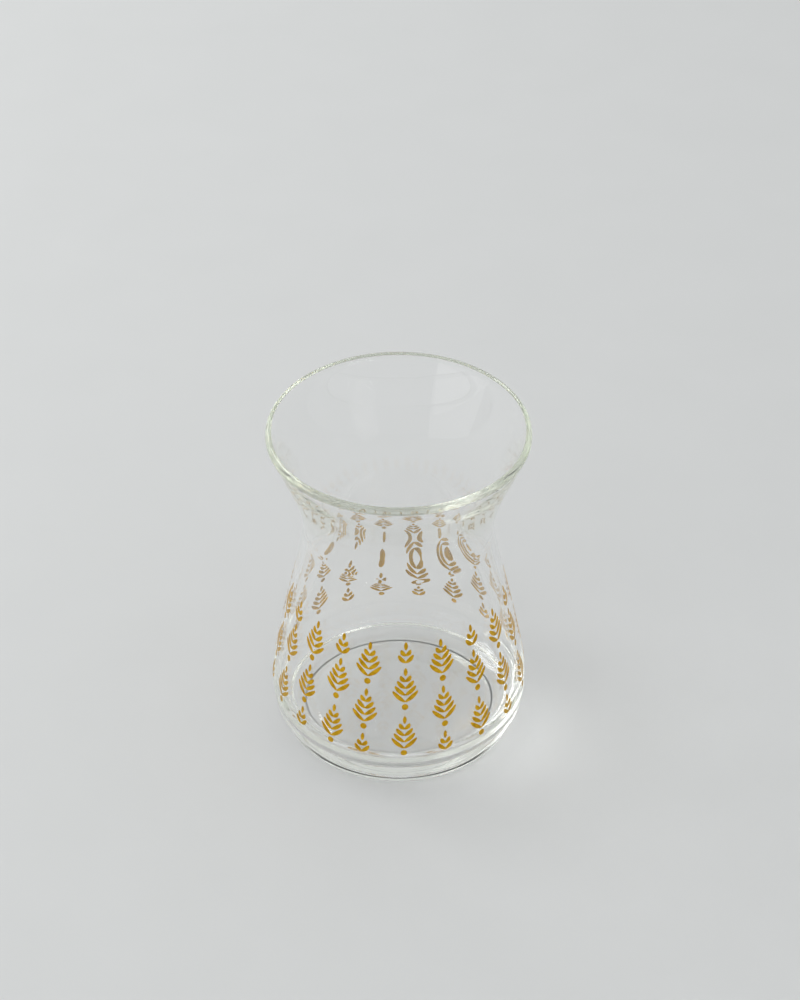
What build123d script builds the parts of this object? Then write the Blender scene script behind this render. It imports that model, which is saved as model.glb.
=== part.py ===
from build123d import *
import os
from math import cos, radians, sin

# A tulip-shaped glass for black tea, blown and pressed from one gather of clear soda-lime glass.
# It stands on the XY plane with its axis on Z. All sizes are millimetres; radii are of the outer face.

# driving dimensions
height = 86.5             # table to the top of the lip
rim_radius = 30.3         # widest point of the mouth
waist_radius = 22.3       # narrowest point, where the fingers hold it
waist_height = 58.5
belly_radius = 31.05      # widest point, low on the body
belly_height = 12.1
foot_setback = 2.3        # how far the thick disc that it stands on stays inside the belly
foot_height = 2.8         # where that disc is widest
foot_round = 4.4          # rounding of its lower edge

# wall and base
lip_thickness = 1.7       # fire-polished bead at the mouth
waist_wall = 2.5
belly_wall = 1.9
floor_height = 4.2        # inner floor above the table
floor_corner = 13.05      # from the widest point in to the flat middle of the floor
ring_width = 0.6          # flat ring that touches the table
hollow_height = 1.4       # shallow push-up under the middle

# how the outline swells and turns
flare_angle = 70.0        # slope of the wall at the mouth, from level
flare_pull = 7.9          # how far the wall keeps that slope below the mouth
neck_pull = 8.5           # how long the waist stays upright above its narrowest point
inner_neck_pull = 10.0    # the same on the inner face, which leaves the neck a thicker wall
waist_pull = 6.0          # and below it
belly_pull = 8.0          # how long the belly stays upright above its widest point
shoulder_pull = 3.6       # and below it
groove_depth = 0.12       # fine groove between foot and body
groove_height = 3.7
body_angle = 41.0         # slope of the body where it leaves the groove
body_pull = 2.3
corner_pull = 8.0         # roundness of the inner corner between floor and wall

# worked out from the sizes above
foot_radius = belly_radius - foot_setback
ring_outer_radius = foot_radius - foot_round
ring_inner_radius = ring_outer_radius - ring_width
floor_radius = belly_radius - floor_corner


def at(radius, z):
    """A point of the outline, in the plane that is turned about Z."""
    return Vector(radius, 0, z)


def outer_outline():
    """The outer face from the table ring up to the mouth."""
    ring_edge = at(ring_outer_radius, 0)
    foot_edge = at(foot_radius, foot_height)
    groove = at(foot_radius - groove_depth, groove_height)
    body_start = at(foot_radius + groove_depth, groove_height + 2 * groove_depth)
    body_way = at(cos(radians(body_angle)), sin(radians(body_angle)))
    belly = at(belly_radius, belly_height)
    waist = at(waist_radius, waist_height)
    mouth = at(rim_radius, height - lip_thickness)
    flare = at(cos(radians(flare_angle)), sin(radians(flare_angle)))
    return [
        Bezier(ring_edge, ring_edge + at(0.55 * foot_round, 0),
               foot_edge - at(0, 0.55 * foot_height), foot_edge),
        Bezier(foot_edge, foot_edge + at(0, groove_depth),
               groove - at(0, groove_depth), groove),
        Bezier(groove, groove + at(0, groove_depth),
               body_start - body_way * groove_depth, body_start),
        Bezier(body_start, body_start + body_way * body_pull,
               belly - at(0, shoulder_pull), belly),
        Bezier(belly, belly + at(0, belly_pull), waist - at(0, waist_pull), waist),
        Bezier(waist, waist + at(0, neck_pull), mouth - flare * flare_pull, mouth),
    ]


def lip_outline():
    """The rounded bead over the mouth, from the outer face to the inner one."""
    outer = at(rim_radius, height - lip_thickness)
    inner = at(rim_radius - lip_thickness, height - lip_thickness)
    top = at(rim_radius - lip_thickness / 2, height)
    flare = at(cos(radians(flare_angle)), sin(radians(flare_angle)))
    reach = 0.55 * lip_thickness / 2
    return [
        Bezier(outer, outer + flare * reach, top + at(reach, 0), top),
        Bezier(top, top - at(reach, 0), inner + flare * reach, inner),
    ]


def inner_outline():
    """The inner face from the mouth down to the middle of the floor."""
    mouth = at(rim_radius - lip_thickness, height - lip_thickness)
    waist = at(waist_radius - waist_wall, waist_height)
    belly = at(belly_radius - belly_wall, belly_height + belly_wall)
    floor = at(floor_radius, floor_height)
    flare = at(cos(radians(flare_angle)), sin(radians(flare_angle)))
    return [
        Bezier(mouth, mouth - flare * flare_pull, waist + at(0, inner_neck_pull), waist),
        Bezier(waist, waist - at(0, waist_pull), belly + at(0, belly_pull), belly),
        Bezier(belly, belly - at(0, 0.6 * corner_pull), floor + at(corner_pull, 0), floor),
        Line(floor, at(0, floor_height)),
    ]


def underside_outline():
    """The shallow hollow under the base, from the axis out to the table ring."""
    middle = at(0, hollow_height)
    ring_edge = at(ring_inner_radius, 0)
    return [
        Line(at(0, floor_height), middle),
        Bezier(middle, at(0.5 * ring_inner_radius, hollow_height),
               at(0.8 * ring_inner_radius, 0.2 * hollow_height), ring_edge),
        Line(ring_edge, at(ring_outer_radius, 0)),
    ]


def glass():
    outline = outer_outline() + lip_outline() + inner_outline() + underside_outline()
    return revolve(make_face(outline), Axis.Z)


os.makedirs("parts", exist_ok=True)
export_step(glass(), "parts/glass.step")
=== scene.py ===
import bpy
from math import cos, pi, radians, sin, tau
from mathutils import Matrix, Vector


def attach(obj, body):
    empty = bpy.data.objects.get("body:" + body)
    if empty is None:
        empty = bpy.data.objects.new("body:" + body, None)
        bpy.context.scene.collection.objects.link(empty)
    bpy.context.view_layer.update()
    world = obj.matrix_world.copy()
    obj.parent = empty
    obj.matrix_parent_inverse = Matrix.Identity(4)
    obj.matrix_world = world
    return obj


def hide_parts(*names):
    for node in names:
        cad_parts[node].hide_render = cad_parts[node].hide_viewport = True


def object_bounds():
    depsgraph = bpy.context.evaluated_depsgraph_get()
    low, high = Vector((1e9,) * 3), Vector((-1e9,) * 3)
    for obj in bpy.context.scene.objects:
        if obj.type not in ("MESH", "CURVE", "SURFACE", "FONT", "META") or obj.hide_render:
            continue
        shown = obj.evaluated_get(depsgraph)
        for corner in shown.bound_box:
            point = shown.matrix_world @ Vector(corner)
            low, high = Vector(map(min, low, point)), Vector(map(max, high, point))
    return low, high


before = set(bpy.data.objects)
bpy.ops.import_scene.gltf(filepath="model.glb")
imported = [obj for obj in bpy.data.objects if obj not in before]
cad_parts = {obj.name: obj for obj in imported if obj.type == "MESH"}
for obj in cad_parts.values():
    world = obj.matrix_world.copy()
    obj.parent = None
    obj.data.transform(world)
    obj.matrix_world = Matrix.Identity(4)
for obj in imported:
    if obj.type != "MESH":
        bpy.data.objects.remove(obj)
cad_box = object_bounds()

# --- Glass body -------------------------------------------------------------------------------
# One gather of clear soda-lime glass, blown and pressed in a mould: a flared mouth with a
# fire-polished lip, a narrow waist, a low wide belly and a thick foot disc below a fine groove.
mm = 0.001
height = cad_box[1][2] / mm
rim_radius, lip_thickness = 30.3, 1.7
waist_radius, waist_height, waist_wall = 22.3, 58.5, 2.5
belly_radius, belly_height, belly_wall = 31.05, 12.1, 1.9
foot_radius, foot_height, foot_round = 28.75, 2.8, 4.4
floor_height, floor_radius, ring_width, hollow_height = 4.2, 18.0, 0.6, 1.4
flare_angle, flare_pull = radians(70), 7.9
neck_pull, inner_neck_pull = 8.5, 10.0
waist_pull, belly_pull, shoulder_pull = 6.0, 8.0, 3.6
groove_depth, groove_height = 0.12, 3.7
body_angle, body_pull, corner_pull = radians(41), 2.3, 8.0
round_pull = 0.55
turns = 224


def at(radius, z):
    """A point of the glass's outline, in millimetres."""
    return Vector((radius, z))


def curve(a, b, c, d, steps):
    """Points along one smooth stretch of the outline, without its last one."""
    points = []
    for i in range(steps):
        t = i / steps
        s = 1 - t
        points.append(s**3 * a + 3 * s * s * t * b + 3 * s * t * t * c + t**3 * d)
    return points


flare = at(cos(flare_angle), sin(flare_angle))
mouth = at(rim_radius, height - lip_thickness)
waist = at(waist_radius, waist_height)
belly = at(belly_radius, belly_height)
ring_edge = at(foot_radius - foot_round, 0)
foot_edge = at(foot_radius, foot_height)
groove = at(foot_radius - groove_depth, groove_height)
body_start = at(foot_radius + groove_depth, groove_height + 2 * groove_depth)
body_way = at(cos(body_angle), sin(body_angle))
up = at(0, 1)
out = at(1, 0)

foot_side = curve(ring_edge, ring_edge + round_pull * foot_round * out,
                  foot_edge - round_pull * foot_height * up, foot_edge, 16)
groove_in = curve(foot_edge, foot_edge + groove_depth * up, groove - groove_depth * up, groove, 8)
groove_out = curve(groove, groove + groove_depth * up,
                   body_start - groove_depth * body_way, body_start, 8)
shoulder = curve(body_start, body_start + body_pull * body_way,
                 belly - shoulder_pull * up, belly, 20)
body = curve(belly, belly + belly_pull * up, waist - waist_pull * up, waist, 60)
neck = curve(waist, waist + neck_pull * up, mouth - flare_pull * flare, mouth, 36)

inner_mouth = at(rim_radius - lip_thickness, height - lip_thickness)
inner_waist = at(waist_radius - waist_wall, waist_height)
inner_belly = at(belly_radius - belly_wall, belly_height + belly_wall)
floor_edge = at(floor_radius, floor_height)
lip_top = at(rim_radius - lip_thickness / 2, height)
reach = round_pull * lip_thickness / 2
lip = (curve(mouth, mouth + reach * flare, lip_top + reach * out, lip_top, 12)
       + curve(lip_top, lip_top - reach * out, inner_mouth + reach * flare, inner_mouth, 12))
inside = (curve(inner_mouth, inner_mouth - flare_pull * flare,
                inner_waist + inner_neck_pull * up, inner_waist, 36)
          + curve(inner_waist, inner_waist - waist_pull * up,
                  inner_belly + belly_pull * up, inner_belly, 60)
          + curve(inner_belly, inner_belly - 0.6 * corner_pull * up,
                  floor_edge + corner_pull * out, floor_edge, 28)
          + curve(floor_edge, 0.7 * floor_edge + at(0, 0.3 * floor_height),
                  at(0.3 * floor_radius, floor_height), at(0, floor_height), 12)
          + [at(0, floor_height)])
ring_inner = foot_radius - foot_round - ring_width
hollow = curve(at(0, hollow_height), at(0.5 * ring_inner, hollow_height),
               at(0.8 * ring_inner, 0.2 * hollow_height), at(ring_inner, 0), 24)
outline = hollow + [at(ring_inner, 0)] + foot_side + groove_in + groove_out
outer_wall = shoulder + body + neck
outline += outer_wall + lip + inside


def turned(name, outline):
    """A closed body made by turning an outline, which starts and ends on the axis, about Z."""
    rings = outline[1:-1]
    vertices = [(0, 0, outline[0].y * mm)]
    for point in rings:
        for k in range(turns):
            a = tau * k / turns
            vertices.append((point.x * mm * cos(a), point.x * mm * sin(a), point.y * mm))
    vertices.append((0, 0, outline[-1].y * mm))
    last = len(vertices) - 1
    faces = []
    for k in range(turns):
        n = (k + 1) % turns
        faces.append((0, 1 + n, 1 + k))
        top = 1 + (len(rings) - 1) * turns
        faces.append((last, top + k, top + n))
        for j in range(len(rings) - 1):
            low, high = 1 + j * turns, 1 + (j + 1) * turns
            faces.append((low + k, low + n, high + n, high + k))
    mesh = bpy.data.meshes.new(name)
    mesh.from_pydata(vertices, [], faces)
    mesh.validate()
    mesh.shade_smooth()
    piece = bpy.data.objects.new(name, mesh)
    bpy.context.scene.collection.objects.link(piece)
    return piece


def clear_glass():
    """Clear glass that mirrors and bends, with faint marks of the mould in its surface."""
    material = bpy.data.materials.new("clear_glass")
    material.use_nodes = True
    nodes, links = material.node_tree.nodes, material.node_tree.links
    surface = nodes["Principled BSDF"]
    surface.inputs["Base Color"].default_value = (1, 1, 1, 1)
    surface.inputs["Transmission Weight"].default_value = 1
    surface.inputs["Roughness"].default_value = 0
    surface.inputs["IOR"].default_value = 1.52
    place = nodes.new("ShaderNodeTexCoord")
    waves = nodes.new("ShaderNodeTexNoise")
    waves.inputs["Scale"].default_value = 90
    waves.inputs["Detail"].default_value = 1
    relief = nodes.new("ShaderNodeBump")
    relief.inputs["Strength"].default_value = 0.05
    relief.inputs["Distance"].default_value = 0.0003
    links.new(place.outputs["Object"], waves.inputs["Vector"])
    links.new(waves.outputs["Fac"], relief.inputs["Height"])
    links.new(relief.outputs["Normal"], surface.inputs["Normal"])
    tint = nodes.new("ShaderNodeVolumeAbsorption")
    tint.inputs["Color"].default_value = (0.86, 0.90, 0.80, 1)
    tint.inputs["Density"].default_value = 9
    links.new(tint.outputs["Volume"], nodes["Material Output"].inputs["Volume"])
    rays = nodes.new("ShaderNodeLightPath")
    lamp_side = nodes.new("ShaderNodeBsdfTransparent")
    lamp_side.inputs["Color"].default_value = (0.86, 0.86, 0.86, 1)
    either = nodes.new("ShaderNodeMixShader")
    links.new(rays.outputs["Is Shadow Ray"], either.inputs["Fac"])
    links.new(surface.outputs["BSDF"], either.inputs[1])
    links.new(lamp_side.outputs["BSDF"], either.inputs[2])
    links.new(either.outputs["Shader"], nodes["Material Output"].inputs["Surface"])
    return material


glass = turned("glass_body", outline)
glass.data.materials.append(clear_glass())
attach(glass, "root")
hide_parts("glass")

# --- Gold print -------------------------------------------------------------------------------
# Gold lustre, screened on two transfers that wrap the body and fired: leaf sprigs in upright
# columns, each a pointed bud over pairs of slim leaflets, the tall ones with a dot below.
print_lift, print_gap = 0.04, 0.008
bud_length, bud_width = 2.0, 0.9
pair_step, leaf_width, leaf_bow = 1.77, 1.04, 0.16
leaf_root, root_rise, first_rise, rise_step = 0.02, 0.25, 1.35, 0.42
tall_pairs, tall_reach = 4, 2.95
small_pairs, small_reach = 2, 1.75
reach_growth, leaf_fullness = 0.63, 0.6
strip_steps = 12
dot_radius, dot_drop = 0.78, 1.1
front_start, front_pitch, front_columns = radians(-15.8), radians(18.65), 11
back_start, back_pitch, back_columns = radians(-30.8), radians(17.5), 9
column_lean = radians(0.055)
lean_from = 25
small_first = ((43.3, False), (36.6, True), (23.9, True))
tall_first = ((42.8, True), (30.6, True), (18.4, False))


def outer_radius(z):
    """The radius of the body's outer face at a height, read along its outline."""
    for low, high in zip(outer_wall, outer_wall[1:]):
        if low.y <= z <= high.y:
            share = (z - low.y) / (high.y - low.y)
            return low.x + share * (high.x - low.x)
    return outer_wall[-1].x


def leaflet(root, tip, width, bow):
    """A slim leaf as pairs of points, left and right of a line that bows a little."""
    along = tip - root
    side = Vector((-along.y, along.x)).normalized()
    strip = []
    for i in range(strip_steps + 1):
        t = i / strip_steps
        half = width / 2 * sin(pi * (0.04 + 0.92 * t)) ** leaf_fullness
        centre = root + t * along + bow * sin(pi * t) * side
        strip.append((centre + half * side, centre - half * side))
    return strip


def dot(centre, radius):
    """A round spot as pairs of points, left and right of its middle line."""
    strip = []
    for i in range(strip_steps + 1):
        a = pi * (0.03 + 0.94 * i / strip_steps)
        reach = radius * sin(a)
        level = centre - Vector((0, radius * cos(a)))
        strip.append((level - Vector((reach, 0)), level + Vector((reach, 0))))
    return strip


def sprig(tall):
    """The leaves of one sprig, with the tip of its bud at the origin."""
    pairs, widest = (tall_pairs, tall_reach) if tall else (small_pairs, small_reach)
    strips = [leaflet(Vector((0, -bud_length)), Vector((0, 0)), bud_width, 0)]
    for k in range(1, pairs + 1):
        foot = -bud_length - pair_step * k
        spread = widest * (k / pairs) ** reach_growth
        rise = first_rise + rise_step * k
        for way in (-1, 1):
            root = Vector((way * leaf_root, foot + root_rise))
            tip = Vector((way * spread, foot + rise))
            strips.append(leaflet(root, tip, leaf_width, -way * leaf_bow))
    if tall:
        stem_end = -bud_length - pair_step * pairs
        strips.append(dot(Vector((0, stem_end - dot_drop)), dot_radius))
    return strips


def wrapped(point, column, top, lift):
    """A point of a sprig laid on the body, in metres."""
    z = top + point.y
    radius = outer_radius(z)
    a = column + column_lean * (z - lean_from) + point.x / radius
    r = (radius + lift) * mm
    return (r * sin(a), -r * cos(a), z * mm)


def gold_print():
    """All sprigs as one piece: a thin film with a face, a back and edges."""
    vertices, faces = [], []
    transfers = ((front_start, front_pitch, front_columns, 1),
                 (back_start, -back_pitch, back_columns, 0))
    for start, pitch, columns, first in transfers:
        for k in range(columns):
            column = start + k * pitch
            rows = tall_first if (k + first) % 2 else small_first
            for top, tall in rows:
                for strip in sprig(tall):
                    base = len(vertices)
                    for left, right in strip:
                        for point, lift in ((left, print_lift), (right, print_lift),
                                            (right, print_gap), (left, print_gap)):
                            vertices.append(wrapped(point, column, top, lift))
                    for i in range(len(strip) - 1):
                        a, b = base + 4 * i, base + 4 * (i + 1)
                        for j in range(4):
                            n = (j + 1) % 4
                            faces.append((a + j, b + j, b + n, a + n))
                    end = base + 4 * (len(strip) - 1)
                    faces.append((base, base + 1, base + 2, base + 3))
                    faces.append((end + 3, end + 2, end + 1, end))
    mesh = bpy.data.meshes.new("gold_sprigs")
    mesh.from_pydata(vertices, [], faces)
    mesh.validate()
    piece = bpy.data.objects.new("gold_sprigs", mesh)
    bpy.context.scene.collection.objects.link(piece)
    return piece


def gold_lustre():
    """Fired gold: a warm metal film, satin, a little thinner and browner in places."""
    material = bpy.data.materials.new("gold_lustre")
    material.use_nodes = True
    nodes, links = material.node_tree.nodes, material.node_tree.links
    surface = nodes["Principled BSDF"]
    surface.inputs["Metallic"].default_value = 1
    place = nodes.new("ShaderNodeTexCoord")
    cloud = nodes.new("ShaderNodeTexNoise")
    cloud.inputs["Scale"].default_value = 900
    cloud.inputs["Detail"].default_value = 3
    shades = nodes.new("ShaderNodeValToRGB")
    shades.color_ramp.elements[0].position = 0.35
    shades.color_ramp.elements[0].color = (0.56, 0.30, 0.010, 1)
    shades.color_ramp.elements[1].position = 0.65
    shades.color_ramp.elements[1].color = (0.78, 0.46, 0.022, 1)
    satin = nodes.new("ShaderNodeMapRange")
    satin.inputs["To Min"].default_value = 0.22
    satin.inputs["To Max"].default_value = 0.38
    relief = nodes.new("ShaderNodeBump")
    relief.inputs["Strength"].default_value = 0.2
    relief.inputs["Distance"].default_value = 0.00002
    links.new(place.outputs["Object"], cloud.inputs["Vector"])
    links.new(cloud.outputs["Fac"], shades.inputs["Fac"])
    links.new(shades.outputs["Color"], surface.inputs["Base Color"])
    links.new(cloud.outputs["Fac"], satin.inputs["Value"])
    links.new(satin.outputs["Result"], surface.inputs["Roughness"])
    links.new(cloud.outputs["Fac"], relief.inputs["Height"])
    links.new(relief.outputs["Normal"], surface.inputs["Normal"])
    return material


sprigs = gold_print()
sprigs.data.materials.append(gold_lustre())
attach(sprigs, "root")

# --- Table ------------------------------------------------------------------------------------
# A plain matt board, pale grey, that the glass stands on. It isn't part of the object.
board_half = 3.0


def pale_board():
    """Matt paint with the faintest mottling."""
    material = bpy.data.materials.new("pale_board")
    material.use_nodes = True
    nodes, links = material.node_tree.nodes, material.node_tree.links
    surface = nodes["Principled BSDF"]
    surface.inputs["Roughness"].default_value = 0.9
    surface.inputs["Specular IOR Level"].default_value = 0.2
    place = nodes.new("ShaderNodeTexCoord")
    mottle = nodes.new("ShaderNodeTexNoise")
    mottle.inputs["Scale"].default_value = 40
    shades = nodes.new("ShaderNodeValToRGB")
    shades.color_ramp.elements[0].color = (0.614, 0.624, 0.614, 1)
    shades.color_ramp.elements[1].color = (0.634, 0.643, 0.634, 1)
    links.new(place.outputs["Object"], mottle.inputs["Vector"])
    links.new(mottle.outputs["Fac"], shades.inputs["Fac"])
    links.new(shades.outputs["Color"], surface.inputs["Base Color"])
    return material


board_mesh = bpy.data.meshes.new("table_board")
corners = [(-board_half, -board_half, 0), (board_half, -board_half, 0),
           (board_half, board_half, 0), (-board_half, board_half, 0)]
board_mesh.from_pydata(corners, [], [(0, 1, 2, 3)])
board = bpy.data.objects.new("table_board", board_mesh)
board.data.materials.append(pale_board())
bpy.context.scene.collection.objects.link(board)

# --- Light and camera -------------------------------------------------------------------------
# A wide soft window of light high on the left, a low pale panel beside it, an even white room
# all round, and the camera.
aim = Vector((0, 0, 0.04))


def window(name, place, size, power):
    """An oblong soft light at a place, turned towards the glass."""
    light = bpy.data.lights.new(name, "AREA")
    light.shape = "RECTANGLE"
    light.size, light.size_y = size
    light.energy = power
    lamp = bpy.data.objects.new(name, light)
    lamp.location = place
    lamp.rotation_euler = (aim - Vector(place)).to_track_quat("-Z", "Y").to_euler()
    bpy.context.scene.collection.objects.link(lamp)


window("window_left", (-1.3, 0.5, 1.0), (1.1, 1.0), 17)
window("low_panel", (-0.8, -0.5, 0.3), (0.9, 0.6), 1.0)

world = bpy.data.worlds.new("room")
world.use_nodes = True
room = world.node_tree.nodes["Background"]
room.inputs["Color"].default_value = (0.97, 0.98, 1.0, 1)
room.inputs["Strength"].default_value = 0.70
bpy.context.scene.world = world
bpy.context.scene.view_settings.view_transform = "Standard"
bounces_in_wall = 128
bpy.context.scene.cycles.max_bounces = bounces_in_wall
bpy.context.scene.cycles.transmission_bounces = bounces_in_wall
bpy.context.scene.cycles.glossy_bounces = bounces_in_wall

camera_distance, camera_rise, camera_dip = 0.547, radians(40.3), radians(38.5)
camera_data = bpy.data.cameras.new("camera")
camera_data.lens = 82.6
camera = bpy.data.objects.new("camera", camera_data)
middle = height * mm / 2
camera.location = (0.0003, -camera_distance * cos(camera_rise),
                   middle + camera_distance * sin(camera_rise))
camera.rotation_euler = (pi / 2 - camera_dip, 0, 0)
bpy.context.scene.collection.objects.link(camera)
bpy.context.scene.camera = camera
